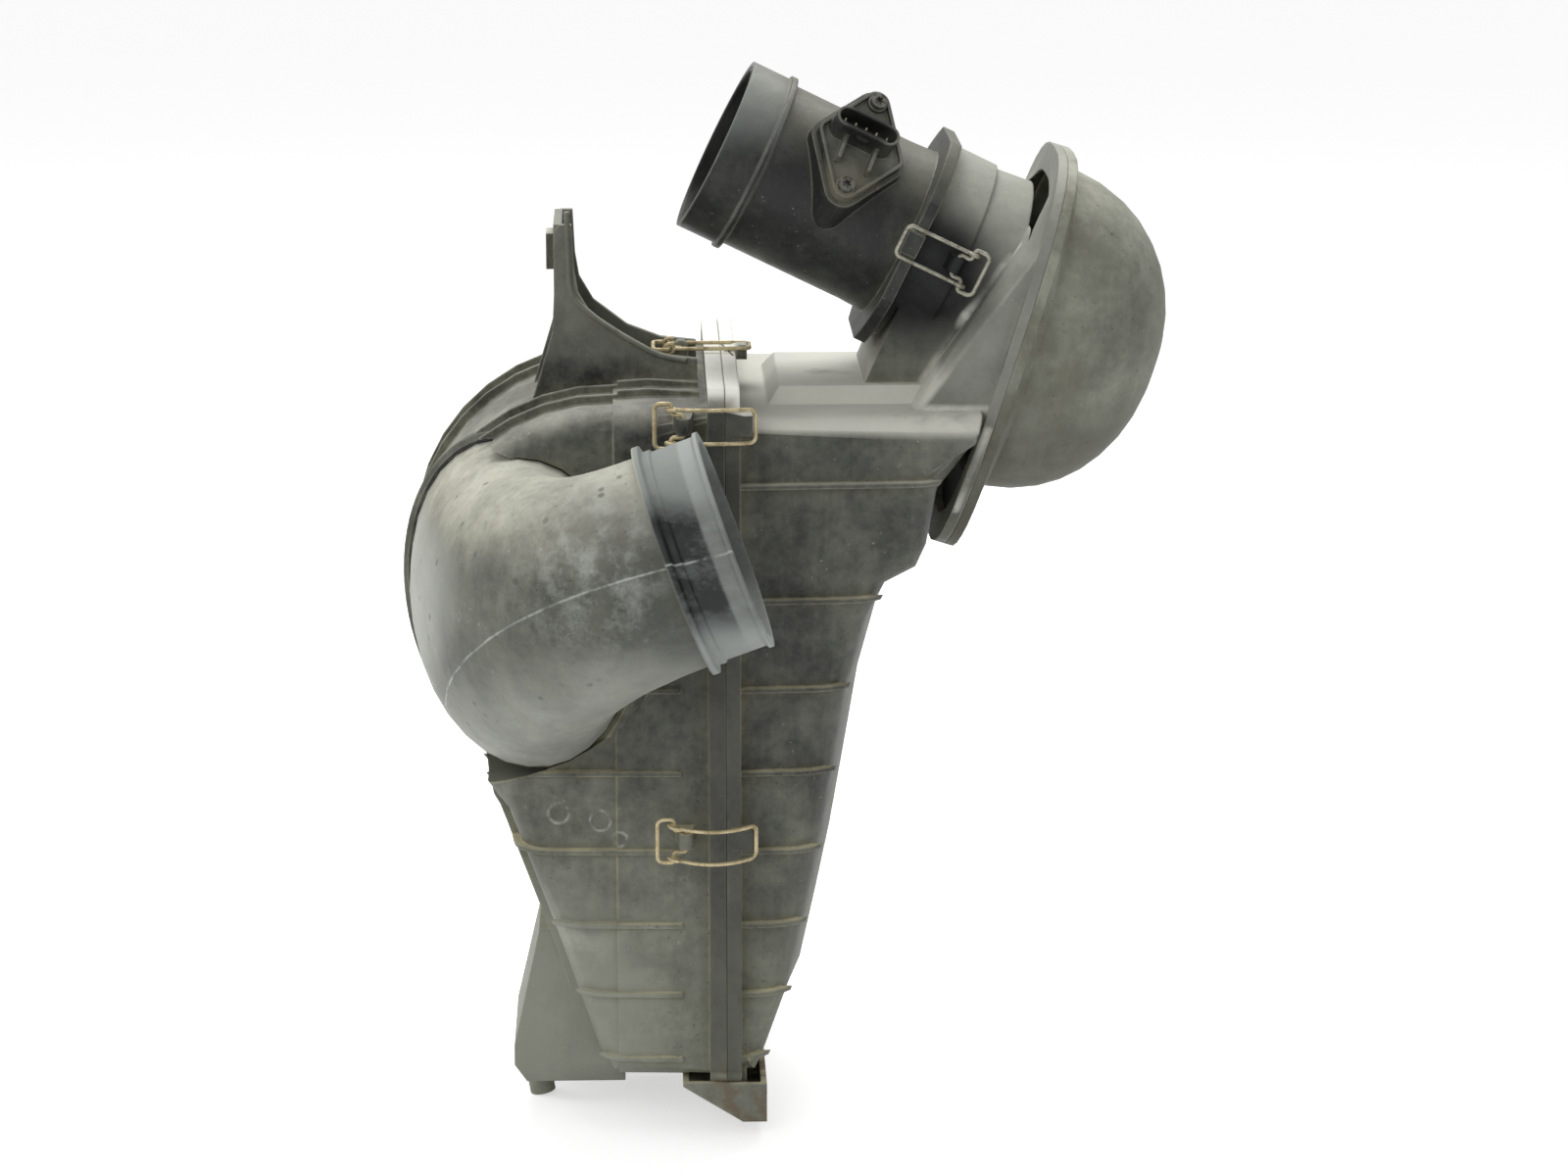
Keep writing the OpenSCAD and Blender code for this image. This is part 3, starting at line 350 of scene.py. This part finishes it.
def cleanMarks(f, colour, rough, height):
    blot = f.noise(70.0, 5.0, 0.7, seed=33.0)
    # the collar is dustier than the box; painted shade on the neck under its clip, nearly black
    wedge = f.x.rise(0.165, 0.215) * f.z.rise(-0.11, -0.05)
    colour = f.mix(colour, cleanHalf["collarColour"], wedge * (0.3 + blot * 0.6))
    shadedNeck = f.near(cleanHalf["shadedNeck"], cleanHalf["shadedNeckRadius"], 0.45)
    colour = f.mix(colour, cleanHalf["neckShadeColour"], (shadedNeck * (0.9 + blot * 0.3)).clip())
    skirt = f.y.rise(-0.105, -0.109)
    colour = f.mix(colour, cleanHalf["skirtColour"], skirt * 0.6)
    for start, end in cleanHalf["creases"]:
        line = f.track(start, end).rise(cleanHalf["creaseWidth"], 0.0004)
        colour = f.mix(colour, cleanHalf["creaseColour"], line * (0.25 + blot.rise(0.3, 0.6) * 0.7))
    # the top of the box lies full in the dust
    lid = abs(f.z - cleanHalf["lidHeight"]).rise(0.022, 0.014) * f.x.rise(0.088, 0.096)
    lid = lid * f.nz.rise(0.15, 0.6)
    colour = f.mix(colour, cleanHalf["lidColour"], lid * (0.6 + blot * 0.45))
    stain = f.noise(18.0, 4.0, 0.6, seed=35.0).rise(0.6, 0.74)
    colour = f.mix(colour, cleanHalf["lidStain"], lid * stain * 0.4)
    colour = dustFlange(f, colour, blot, f.x.rise(0.096, 0.093))
    crack = f.track(*cleanHalf["crack"]).rise(cleanHalf["crackWidth"], cleanHalf["crackWidth"] / 3)
    colour = f.mix(colour, cleanHalf["crackColour"], crack * 0.9)
    return colour, rough, height


# Marks on the dome: brown dust on its left, painted shade on its foot, paler wiped streaks
dome = {"foot": (0.07, 0.068, 0.055), "brown": (0.13, 0.12, 0.085), "worn": (0.30, 0.30, 0.26)}


def domeMarks(f, colour, rough, height):
    blot = f.noise(22.0, 6.0, 0.68, seed=48.0)
    colour = f.mix(colour, dome["brown"], (blot.rise(0.42, 0.62) * 0.55 * f.x.rise(0.30, 0.24)).clip())
    # painted shade: darker on the foot and where the dome faces down
    colour = f.mix(colour, dome["foot"], (f.nz.rise(-0.25, -0.8) | f.z.rise(-0.055, -0.095)) * 0.6)
    wiped = f.noise(16.0, 5.0, 0.6, stretch=(1.0, 1.0, 0.35), seed=49.0)
    colour = f.mix(colour, dome["worn"], wiped.rise(0.56, 0.72) * 0.35)
    return colour, rough, height


# The sensor: brown dust on its lower end, its socket painted black as shade
sensor = {
    "base": (0.147, -0.067, 0.036), "baseRadius": 0.019, "dust": (0.20, 0.185, 0.13),
    "socket": (0.1585, -0.0538, 0.0684), "socketRadius": 0.0125, "black": (0.006, 0.006, 0.006),
}


def sensorMarks(f, colour, rough, height):
    blot = f.noise(160.0, 5.0, 0.7, seed=84.0)
    low = f.near(sensor["base"], sensor["baseRadius"], 0.35)
    # painted shade: the socket's hollow painted black
    colour = f.mix(colour, sensor["black"], f.near(sensor["socket"], sensor["socketRadius"], 0.35) * 0.92)
    colour = f.mix(colour, sensor["dust"], low * (0.2 + blot * 0.7))
    return colour, rough, height


# The flow meter tube: painted shade inside its mouth, a bluish smudge on top of the mouth
tube = {
    "bore": ((0.0758, -0.005, 0.0575), (0.2017, -0.005, -0.0039)), "inner": 0.0423,
    "shade": (0.012, 0.013, 0.011), "smudge": (0.30, 0.335, 0.32), "dust": (0.20, 0.195, 0.15),
    "seamAt": -0.002, "seamHalf": 0.0008, "seamColour": (0.10, 0.10, 0.09),
}


def tubeMarks(f, colour, rough, height):
    # smudge on the mouth, pale dust along the upper side
    blot = f.noise(30.0, 4.0, 0.6, seed=72.0)
    mouth = f.x.rise(0.125, 0.112) * f.nz.rise(-0.3, 0.4)
    colour = f.mix(colour, tube["smudge"], (mouth * f.z.rise(0.05, 0.085) * (0.35 + blot * 0.7)).clip())
    colour = f.mix(colour, tube["dust"], f.nz.rise(0.3, 0.95) * (0.35 + blot * 0.5))
    # painted shade on the bore's inner wall near the mouth
    shadedBore = f.track(*tube["bore"]).rise(tube["inner"] + 0.0005, tube["inner"]) * f.x.rise(0.135, 0.10)
    colour = f.mix(colour, tube["shade"], shadedBore * 0.85)
    seam = abs(f.y - tube["seamAt"]).rise(tube["seamHalf"], 0.0003)
    colour = f.mix(colour, tube["seamColour"], seam * 0.5)
    return colour, rough - 0.06, height


# Bright or dull wire of the clips
wire = {
    "brass": ((0.58, 0.50, 0.31), (0.30, 0.23, 0.12)),
    "dull": ((0.42, 0.41, 0.34), (0.17, 0.155, 0.115)),
    "metallic": 0.6, "roughness": 0.38,
}


def wireFinish(name, bright, stained):
    f = Finish(name)
    blotch = f.noise(180.0, 4.0, 0.65)
    fine = f.noise(900.0, 2.0)
    stain = (blotch * 0.8 + fine * 0.3).rise(0.45, 0.75)
    f.plug(f.shader.inputs["Base Color"], f.mix(bright, stained, stain))
    f.plug(f.shader.inputs["Roughness"], (wire["roughness"] + blotch * 0.3).clip())
    f.plug(f.shader.inputs["Metallic"], (wire["metallic"] - blotch.rise(0.5, 0.7) * 0.45).clip())
    f.relief(blotch, 0.3, 0.0003)
    return f


rubber = {"colour": (0.03, 0.03, 0.03), "dust": (0.14, 0.14, 0.12), "roughness": 0.8}


def rubberFinish(name):
    f = Finish(name)
    dust = f.noise(120.0, 4.0)
    f.plug(f.shader.inputs["Base Color"], f.mix(rubber["colour"], rubber["dust"], dust.rise(0.45, 0.8)))
    f.shader.inputs["Roughness"].default_value = rubber["roughness"]
    f.relief(dust, 0.2, 0.0004)
    return f


paper = {"colour": (0.62, 0.52, 0.33), "stain": (0.36, 0.31, 0.22), "fibre": (0.72, 0.66, 0.5),
         "roughness": 0.9}


def paperFinish(name):
    f = Finish(name)
    fibre = f.noise(700.0, 3.0, 0.6)
    stain = f.noise(14.0, 3.0, 0.6)
    colour = f.mix(paper["colour"], paper["stain"], stain.rise(0.4, 0.75))
    f.plug(f.shader.inputs["Base Color"], f.mix(colour, paper["fibre"], fibre.rise(0.55, 0.75) * 0.4))
    f.shader.inputs["Roughness"].default_value = paper["roughness"]
    f.relief(fibre, 0.3, 0.0004)
    return f


# Contacts and screws: colour, stain and roughness
metal = {
    "contact": ((0.55, 0.52, 0.42), (0.25, 0.23, 0.18), 0.35),
    "screw": ((0.22, 0.22, 0.20), (0.08, 0.07, 0.05), 0.4),
    "metallic": 0.9,
}


def metalFinish(name, colour, stained, roughness):
    f = Finish(name)
    blotch = f.noise(400.0, 3.0)
    f.plug(f.shader.inputs["Base Color"], f.mix(colour, stained, blotch.rise(0.4, 0.7)))
    f.shader.inputs["Metallic"].default_value = metal["metallic"]
    f.plug(f.shader.inputs["Roughness"], (roughness + blotch * 0.3).clip())
    f.relief(blotch, 0.2, 0.0002)
    return f


# Angles in degrees above which an edge stays sharp
sharp = {"skin": 32, "bead": 50}

# Under the port two ribs end in points: between two heights, and further than from the middle,
# their tips are drawn back to the sloping wall
ribTips = {"low": -0.262, "high": -0.2435, "middle": -0.005, "from": 0.034, "at": -0.254,
           "wall": -0.0312, "slope": -0.75}


def pieceFrom(form, name, angle, plainNormals=False):
    # a smooth-shaded object from a bmesh
    mesh = bpy.data.meshes.new(name)
    form.to_mesh(mesh)
    form.free()
    if plainNormals and "custom_normal" in mesh.attributes:
        mesh.attributes.remove(mesh.attributes["custom_normal"])
    mesh.polygons.foreach_set("use_smooth", [True] * len(mesh.polygons))
    mesh.set_sharp_from_angle(angle=math.radians(angle))
    piece = bpy.data.objects.new(name, mesh)
    bpy.context.scene.collection.objects.link(piece)
    return piece


def copyOf(node, join):
    # the node's own form with its facets joined
    form = bmesh.new()
    form.from_mesh(nodes[node].data)
    bmesh.ops.remove_doubles(form, verts=form.verts, dist=join)
    return form


def skinOf(node):
    # the node's own form, so that light runs smoothly over it
    form = copyOf(node, 2e-5)
    if node == "dirty_housing":
        for vert in form.verts:
            x, y, z = vert.co
            if ribTips["low"] < z < ribTips["high"] and abs(y - ribTips["middle"]) > ribTips["from"]:
                vert.co.x = max(x, ribTips["wall"] + ribTips["slope"] * (z - ribTips["at"]))
    piece = pieceFrom(form, node + "_skin", sharp["skin"], True)
    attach(piece, "housing")
    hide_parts(node)
    return piece


# Raised edges that lie on the housing: round the elbow's port, and along the bracket's near web.
# half is half the bead's width, tall its height, sunk how far it goes into the wall
portRim = {
    "centre": (-0.0120, -0.0500, -0.1680), "axis": (-0.7071, -0.7071, 0.0), "radius": 0.0838,
    "half": 0.0030, "tall": 0.0026, "sunk": 0.006, "steps": 96,
}
webEdge = {
    "path": [(0.0107, -0.027, 0.0227), (0.0114, -0.027, 0.0012), (0.0127, -0.027, -0.0174),
             (0.0218, -0.027, -0.0283), (0.0343, -0.027, -0.0373), (0.046, -0.027, -0.0443),
             (0.0557, -0.027, -0.0493), (0.0693, -0.027, -0.0524)],
    "axis": (0.0, -1.0, 0.0), "half": 0.0014, "tall": 0.0022, "sunk": 0.001, "steps": 5,
}


def makeEdge(name, path, axis, size, closed):
    # a bead with rounded shoulders, swept along the path
    half, tall, sunk = size["half"], size["tall"], size["sunk"]
    profile = [(-half, -sunk), (-half, tall * 0.5), (-half * 0.7, tall * 0.85), (-half * 0.3, tall),
               (half * 0.3, tall), (half * 0.7, tall * 0.85), (half, tall * 0.5), (half, -sunk)]
    form, rings, count = bmesh.new(), [], len(path)
    for i, point in enumerate(path):
        before = path[i - 1] if closed or i else point
        after = path[(i + 1) % count] if closed or i < count - 1 else point
        side = (after - before).normalized().cross(axis).normalized()
        rings.append([form.verts.new(point + side * s + axis * h) for s, h in profile])
    for i in range(count if closed else count - 1):
        this, following = rings[i], rings[(i + 1) % count]
        for j in range(len(profile)):
            k = (j + 1) % len(profile)
            form.faces.new((this[j], following[j], following[k], this[k]))
    if not closed:
        form.faces.new(rings[0])
        form.faces.new(list(reversed(rings[-1])))
    bmesh.ops.recalc_face_normals(form, faces=form.faces)
    piece = pieceFrom(form, name, sharp["bead"])
    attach(piece, "housing")
    return piece


# The near clips' wires are bent outwards by use, the upper one little, since it swings past the elbow
bentBails = {"bows": {"near_low_bail": 0.013, "near_high_bail": 0.003}, "cuts": 14}


def bentBail(node):
    low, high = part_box(node)
    form = copyOf(node, 1e-5)
    long = high[0] - low[0]
    for i in range(1, bentBails["cuts"]):
        at = low[0] + long * i / bentBails["cuts"]
        bmesh.ops.bisect_plane(form, geom=form.verts[:] + form.edges[:] + form.faces[:],
                               plane_co=(at, 0, 0), plane_no=(1, 0, 0))
    for vert in form.verts:
        u = (vert.co.x - low[0]) / long
        vert.co.y -= bentBails["bows"][node] * 4 * u * (1 - u)
    piece = pieceFrom(form, node + "_bent", sharp["bead"])
    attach(piece, node)
    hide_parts(node)
    return piece


def smoothPath(points, steps):
    # a curve through the points
    way, last = [Vector(p) for p in points], len(points) - 1
    out = []
    for i in range(last):
        a, b, c, d = way[max(i - 1, 0)], way[i], way[i + 1], way[min(i + 2, last)]
        for t in (j / steps for j in range(steps)):
            out.append(b + (c - a) * (t / 2) + (a - b * 2.5 + c * 2 - d * 0.5) * t ** 2
                       + (b * 1.5 - a * 0.5 - c * 1.5 + d * 0.5) * t ** 3)
    return out + [way[last]]


def makePortRim():
    axis, centre, steps = Vector(portRim["axis"]), Vector(portRim["centre"]), portRim["steps"]
    across, up = Vector((axis.y, -axis.x, 0)), Vector((0, 0, 1))
    turns = [2 * math.pi * i / steps for i in range(steps)]
    path = [centre + (across * math.cos(t) + up * math.sin(t)) * portRim["radius"] for t in turns]
    return makeEdge("port_rim", path, axis, portRim, True)


def makeWebEdge():
    path = smoothPath(webEdge["path"], webEdge["steps"])
    return makeEdge("web_edge", path, Vector(webEdge["axis"]), webEdge, False)


finishes = {
    "dirty": plasticFinish("dirtyHalfPlastic", 0.28, 0.35, upDust=0.32, blotchy=1.5, seed=3.0,
                           marks=dirtyMarks),
    "clean": plasticFinish("cleanHalfPlastic", 0.24, 0.31, blotchy=1.4, seed=31.0, marks=cleanMarks),
    "dome": plasticFinish("domePlastic", 0.80, upDust=0.4, blotchy=1.7, seed=47.0, marks=domeMarks),
    "elbow": plasticFinish("elbowPlastic", 0.38, upDust=0.65, blotchy=1.2, seed=59.0, marks=elbowMarks),
    "tube": plasticFinish("tubePlastic", 0.035, upDust=0.15, edgeDust=0.5, gather=0.4,
                          blotchy=0.5, seed=71.0, marks=tubeMarks),
    "sensor": plasticFinish("sensorPlastic", 0.07, upDust=0.3, edgeDust=0.3, gather=0.25,
                            blotchy=0.5, marks=sensorMarks, seed=83.0),
    "nut": plasticFinish("nutPlastic", 0.05, seed=91.0),
    "rubber": rubberFinish("sealRubber"),
    "paper": paperFinish("pleatPaper"),
    "contact": metalFinish("contactMetal", *metal["contact"]),
    "screw": metalFinish("screwSteel", *metal["screw"]),
    "brass": wireFinish("brassWire", *wire["brass"]),
    "dull": wireFinish("dullWire", *wire["dull"]),
}
print("finishes made:", len(finishes))

# which finish each node gets
smoothed = {
    "dirty_housing": "dirty", "clean_housing": "clean", "outlet_dome": "dome", "intake_elbow": "elbow",
}
for node, key in smoothed.items():
    finishes[key].give(skinOf(node))
plain = {
    "flow_meter_tube": "tube", "flow_sensor": "sensor", "bracket_clip_nut": "nut", "elbow_seal": "rubber",
    "tube_seal": "rubber", "sensor_o_ring": "rubber", "filter_frame": "rubber", "filter_media": "paper",
    "sensor_pins": "contact", "sensor_screws": "screw",
}
for node, key in plain.items():
    finishes[key].give(nodes[node])
for node in nodes:
    if node.endswith(("_lever", "_bail")):
        finishes["dull" if node.startswith("duct") else "brass"].give(nodes[node])
for node in bentBails["bows"]:
    finishes["brass"].give(bentBail(node))
finishes["dirty"].give(makePortRim())
finishes["dirty"].give(makeWebEdge())
print("pieces dressed")

# Floor, light and camera
studio = {
    "floorColour": 0.8, "floorRoughness": 0.9, "floorGlow": 0.55, "floorHalf": 6, "world": 0.5,
    "eye": (0.0444, -2.1384, 0.3572), "aim": (0.1189, -0.005, -0.175), "lens": 99.0, "sensorWidth": 36.0,
}

# each lamp: place, aim, width, height, watts
lamps = {
    "topLamp": ((0.2, 0.9, 1.5), (0.1, 0.0, -0.1), 1.6, 1.2, 34),
    "rimLamp": ((-1.7, 0.6, 0.5), (0.0, 0.0, -0.15), 0.6, 1.2, 8),
    "fillLamp": ((-0.9, -2.0, 0.9), (0.1, 0.0, -0.15), 1.4, 1.4, 14),
}


def makeFloor():
    mesh = bpy.data.meshes.new("floor")
    low, half = cadBox[0][2], studio["floorHalf"]
    corners = [(-half, -half, low), (half, -half, low), (half, half, low), (-half, half, low)]
    mesh.from_pydata(corners, [], [(0, 1, 2, 3)])
    floor = bpy.data.objects.new("floor", mesh)
    bpy.context.scene.collection.objects.link(floor)
    f = Finish("floorPaper")
    f.shader.inputs["Base Color"].default_value = (*[studio["floorColour"]] * 3, 1)
    f.shader.inputs["Roughness"].default_value = studio["floorRoughness"]
    f.shader.inputs["Emission Color"].default_value = (1, 1, 1, 1)
    seen = f.node("ShaderNodeLightPath", out="Is Camera Ray")
    glossy = f.node("ShaderNodeLightPath", out="Is Glossy Ray")
    f.plug(f.shader.inputs["Emission Strength"], (seen | glossy) * studio["floorGlow"])
    f.give(floor)


def makeWorld():
    world = bpy.data.worlds.new("studioWorld")
    bpy.context.scene.world = world
    world.use_nodes = True
    back = world.node_tree.nodes["Background"]
    back.inputs["Color"].default_value = (1, 1, 1, 1)
    graph = Graph(world.node_tree)
    seen = graph.node("ShaderNodeLightPath", out="Is Camera Ray")
    through = graph.node("ShaderNodeLightPath", out="Is Transmission Ray")
    level = studio["world"]
    graph.plug(back.inputs["Strength"], (seen | through) * (1 - level) + level)


def makeLamp(name, place, aim, width, height, watts):
    data = bpy.data.lights.new(name, "AREA")
    data.shape, data.size, data.size_y, data.energy = "RECTANGLE", width, height, watts
    lamp = bpy.data.objects.new(name, data)
    lamp.location = place
    lamp.rotation_euler = (Vector(aim) - Vector(place)).to_track_quat("-Z", "Y").to_euler()
    bpy.context.scene.collection.objects.link(lamp)


def makeCamera():
    data = bpy.data.cameras.new("camera")
    data.lens, data.sensor_width = studio["lens"], studio["sensorWidth"]
    camera = bpy.data.objects.new("camera", data)
    camera.location = studio["eye"]
    sight = Vector(studio["aim"]) - Vector(studio["eye"])
    camera.rotation_euler = sight.to_track_quat("-Z", "Y").to_euler()
    bpy.context.scene.collection.objects.link(camera)
    bpy.context.scene.camera = camera


makeFloor()
makeWorld()
for name, lamp in lamps.items():
    makeLamp(name, *lamp)
makeCamera()
bpy.context.scene.view_settings.view_transform = "Standard"
print("stage set")
